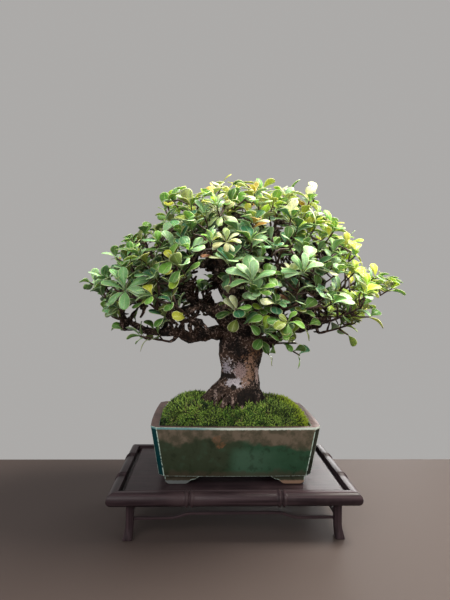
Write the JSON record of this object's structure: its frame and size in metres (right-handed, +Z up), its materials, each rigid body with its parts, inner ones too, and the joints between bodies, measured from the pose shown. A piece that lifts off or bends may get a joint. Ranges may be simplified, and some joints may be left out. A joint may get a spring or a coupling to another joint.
{
  "type": "barberry bonsai in a pot on a display stand",
  "caption": "Barberry bonsai with a short thick trunk and a dense leafy crown, in a green-glazed rectangular pot with moss, standing on a low dark bamboo-style display stand.",
  "frame": {"origin": "on the ground under the middle of the whole object's bounding box", "axes": "+Z up, -Y towards the viewer of the picture's front side, +X to that viewer's right"},
  "size_m": [0.3608, 0.211, 0.3595],
  "materials": {
    "stand_wood": "satin",
    "green_glaze": "gloss",
    "screen_plastic": "matte",
    "soil": "matte",
    "moss": "matte",
    "barberry_bark": "matte",
    "leaf_green": "satin",
    "leaf_blue_green": "satin",
    "leaf_yellow_green": "satin"
  },
  "bodies": {
    "root": {"stand_panel": "stand_wood", "stand_rail_front": "stand_wood", "stand_rail_back": "stand_wood", "stand_rail_left": "stand_wood", "stand_rail_right": "stand_wood", "stand_leg_front_left": "stand_wood", "stand_leg_front_right": "stand_wood", "stand_leg_back_left": "stand_wood", "stand_leg_back_right": "stand_wood", "stand_stretcher_front": "stand_wood", "stand_stretcher_back": "stand_wood", "stand_stretcher_left": "stand_wood", "stand_stretcher_right": "stand_wood", "pot": "green_glaze", "drain_screen_left": "screen_plastic", "drain_screen_right": "screen_plastic", "soil": "soil", "moss": "moss", "trunk_and_branches": "barberry_bark", "spray_01": "leaf_green", "spray_02": "leaf_green", "spray_03": "leaf_green", "spray_04": "leaf_green", "spray_05": "leaf_yellow_green", "spray_06": "leaf_yellow_green", "spray_07": "leaf_yellow_green", "spray_08": "leaf_yellow_green", "spray_09": "leaf_yellow_green", "spray_10": "leaf_yellow_green", "spray_11": "leaf_yellow_green", "spray_12": "leaf_yellow_green", "spray_13": "leaf_yellow_green", "spray_14": "leaf_yellow_green", "spray_15": "leaf_yellow_green", "spray_16": "leaf_green", "spray_17": "leaf_green", "spray_18": "leaf_blue_green", "spray_19": "leaf_blue_green", "spray_20": "leaf_green", "spray_21": "leaf_green", "spray_22": "leaf_blue_green", "spray_23": "leaf_blue_green", "spray_24": "leaf_yellow_green", "spray_25": "leaf_yellow_green", "spray_26": "leaf_blue_green", "spray_27": "leaf_blue_green", "spray_28": "leaf_blue_green", "spray_29": "leaf_green", "spray_30": "leaf_green", "spray_31": "leaf_blue_green", "spray_32": "leaf_blue_green", "spray_33": "leaf_yellow_green", "spray_34": "leaf_yellow_green", "spray_35": "leaf_blue_green", "spray_36": "leaf_blue_green", "spray_37": "leaf_green", "spray_38": "leaf_yellow_green", "spray_39": "leaf_yellow_green", "spray_40": "leaf_yellow_green"}
  },
  "joints": []
}
